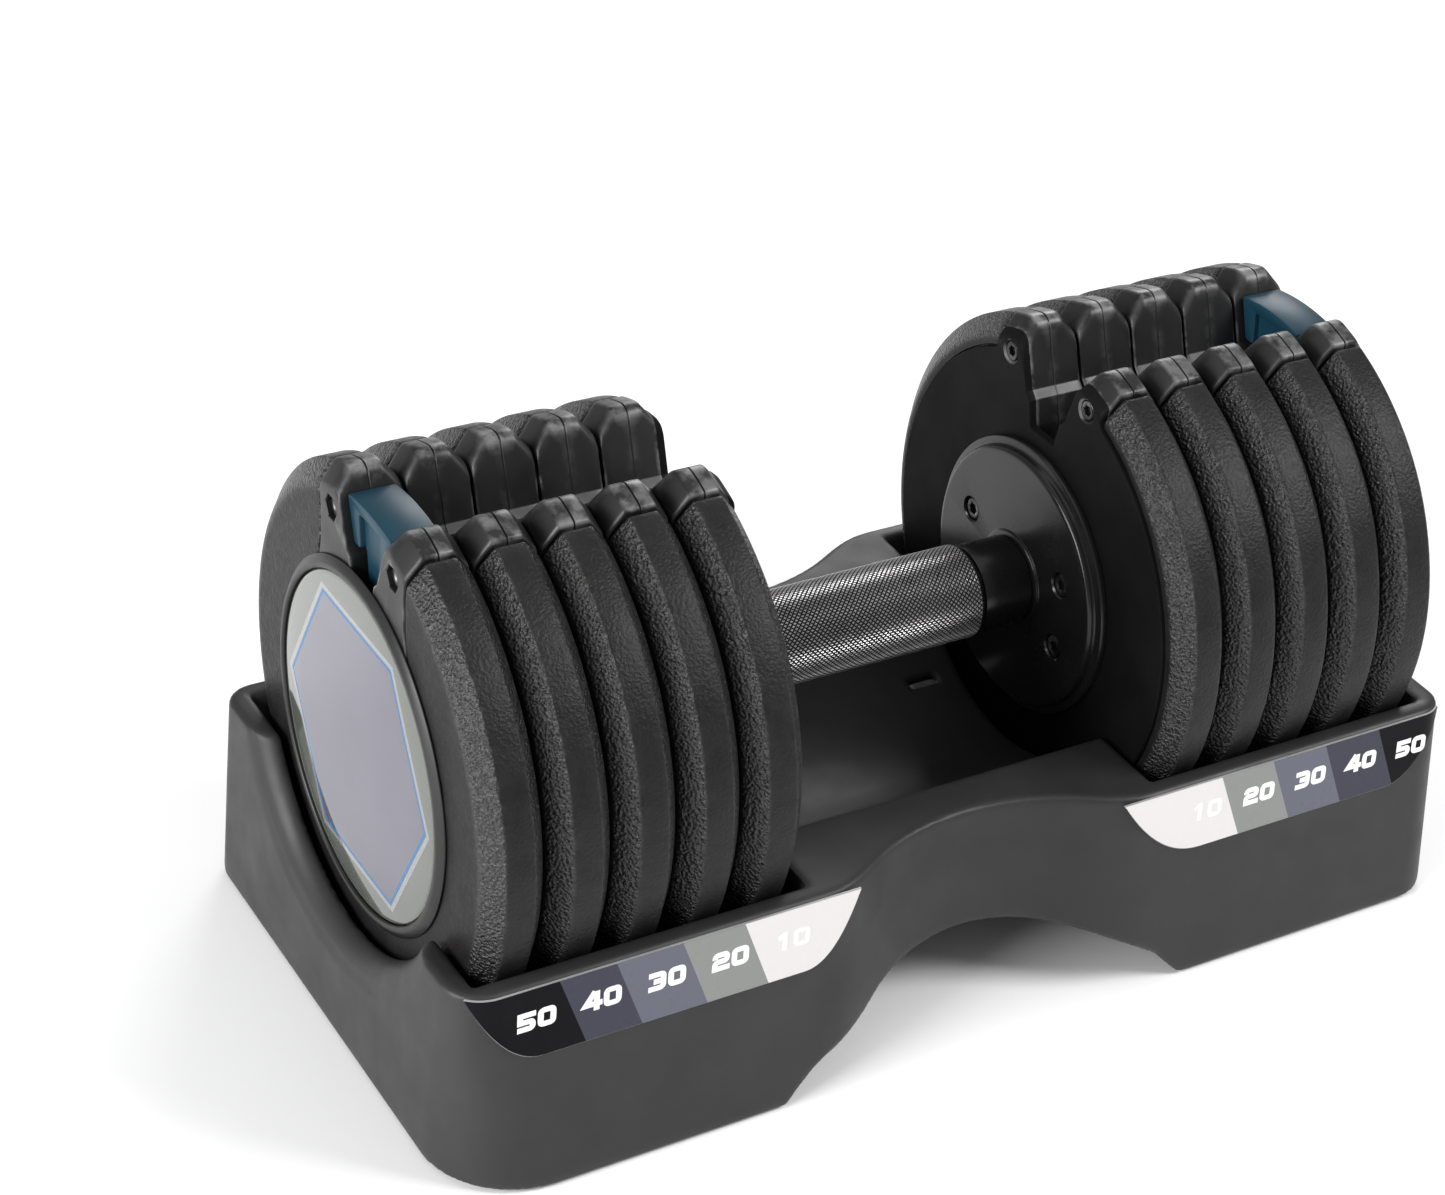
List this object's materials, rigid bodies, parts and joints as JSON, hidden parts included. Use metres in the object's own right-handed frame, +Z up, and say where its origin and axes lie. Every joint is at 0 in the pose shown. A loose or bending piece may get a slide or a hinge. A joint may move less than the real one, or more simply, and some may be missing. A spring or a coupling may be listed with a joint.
{
  "type": "adjustable dumbbell",
  "caption": "Adjustable dumbbell with round iron plates, sliding blue weight selectors and a knurled grip, resting in a moulded storage tray with a weight scale.",
  "frame": {"origin": "on the floor under the middle of the tray", "axes": "+X along the handle to the right end, -Y towards the user and the tray's labels, +Z up"},
  "size_m": [0.4, 0.2148, 0.2066],
  "materials": {
    "iron": "black textured paint on cast iron",
    "nylon": "smooth satin moulded nylon",
    "black_metal": "semi-gloss black",
    "knurled_steel": "black oxide diamond knurl with bright tips",
    "steel": "zinc-plated steel",
    "blue_plastic": "satin steel-blue plastic",
    "tray_plastic": "fine-grained moulded plastic",
    "rubber": "matte rubber",
    "badge_face": "glossy domed film",
    "label_film": "printed film"
  },
  "bodies": {
    "tray": {"tray": "tray_plastic", "label_right": "label_film", "label_left": "label_film", "foot_back_right": "rubber", "foot_front_right": "rubber", "foot_back_left": "rubber", "foot_front_left": "rubber"},
    "handle": {"handle_tube": "steel", "grip_sleeve": "knurled_steel", "collar_right": "black_metal", "flange_right": "black_metal", "bar_guide_right": "nylon", "plate_1_iron_right": "iron", "plate_1_insert_right": "nylon", "flange_screw_back_top_right": "black_metal", "flange_screw_back_bottom_right": "black_metal", "flange_screw_front_top_right": "black_metal", "flange_screw_front_bottom_right": "black_metal", "ear_screw_back_right": "black_metal", "ear_screw_front_right": "black_metal", "collar_left": "black_metal", "flange_left": "black_metal", "bar_guide_left": "nylon", "plate_1_iron_left": "iron", "plate_1_insert_left": "nylon", "flange_screw_back_top_left": "black_metal", "flange_screw_back_bottom_left": "black_metal", "flange_screw_front_top_left": "black_metal", "flange_screw_front_bottom_left": "black_metal", "ear_screw_back_left": "black_metal", "ear_screw_front_left": "black_metal"},
    "selector_right": {"selector_yoke_right": "blue_plastic", "lock_bar_right": "steel"},
    "selector_left": {"selector_yoke_left": "blue_plastic", "lock_bar_left": "steel"},
    "plate_2_right": {"plate_2_iron_right": "iron", "plate_2_insert_right": "nylon"},
    "plate_3_right": {"plate_3_iron_right": "iron", "plate_3_insert_right": "nylon"},
    "plate_4_right": {"plate_4_iron_right": "iron", "plate_4_insert_right": "nylon"},
    "plate_5_right": {"plate_5_iron_right": "iron", "plate_5_insert_right": "nylon", "badge_ring_right": "nylon", "badge_right": "badge_face", "ear_nut_back_right": "steel", "ear_nut_front_right": "steel"},
    "plate_2_left": {"plate_2_iron_left": "iron", "plate_2_insert_left": "nylon"},
    "plate_3_left": {"plate_3_iron_left": "iron", "plate_3_insert_left": "nylon"},
    "plate_4_left": {"plate_4_iron_left": "iron", "plate_4_insert_left": "nylon"},
    "plate_5_left": {"plate_5_iron_left": "iron", "plate_5_insert_left": "nylon", "badge_ring_left": "nylon", "badge_left": "badge_face", "ear_nut_back_left": "steel", "ear_nut_front_left": "steel"}
  },
  "joints": [
    {"name": "handle_lift", "type": "slide", "parent": "tray", "child": "handle", "axis": [0, 0, 1], "range_m": [0, 0.2]},
    {"name": "selector_right_slide", "type": "slide", "parent": "handle", "child": "selector_right", "axis": [-1, 0, 0], "range_m": [0, 0.0932]},
    {"name": "plate_2_right_lift", "type": "slide", "parent": "tray", "child": "plate_2_right", "axis": [0, 0, 1], "range_m": [0, 0.2]},
    {"name": "plate_3_right_lift", "type": "slide", "parent": "tray", "child": "plate_3_right", "axis": [0, 0, 1], "range_m": [0, 0.2]},
    {"name": "plate_4_right_lift", "type": "slide", "parent": "tray", "child": "plate_4_right", "axis": [0, 0, 1], "range_m": [0, 0.2]},
    {"name": "plate_5_right_lift", "type": "slide", "parent": "tray", "child": "plate_5_right", "axis": [0, 0, 1], "range_m": [0, 0.2]},
    {"name": "selector_left_slide", "type": "slide", "parent": "handle", "child": "selector_left", "axis": [1, 0, 0], "range_m": [0, 0.0932]},
    {"name": "plate_2_left_lift", "type": "slide", "parent": "tray", "child": "plate_2_left", "axis": [0, 0, 1], "range_m": [0, 0.2]},
    {"name": "plate_3_left_lift", "type": "slide", "parent": "tray", "child": "plate_3_left", "axis": [0, 0, 1], "range_m": [0, 0.2]},
    {"name": "plate_4_left_lift", "type": "slide", "parent": "tray", "child": "plate_4_left", "axis": [0, 0, 1], "range_m": [0, 0.2]},
    {"name": "plate_5_left_lift", "type": "slide", "parent": "tray", "child": "plate_5_left", "axis": [0, 0, 1], "range_m": [0, 0.2]}
  ],
  "couplings": [
    {"joint": "plate_2_right_lift", "follows": "handle_lift", "ratio": 1},
    {"joint": "plate_3_right_lift", "follows": "handle_lift", "ratio": 1},
    {"joint": "plate_4_right_lift", "follows": "handle_lift", "ratio": 1},
    {"joint": "plate_5_right_lift", "follows": "handle_lift", "ratio": 1},
    {"joint": "plate_2_left_lift", "follows": "handle_lift", "ratio": 1},
    {"joint": "plate_3_left_lift", "follows": "handle_lift", "ratio": 1},
    {"joint": "plate_4_left_lift", "follows": "handle_lift", "ratio": 1},
    {"joint": "plate_5_left_lift", "follows": "handle_lift", "ratio": 1}
  ]
}
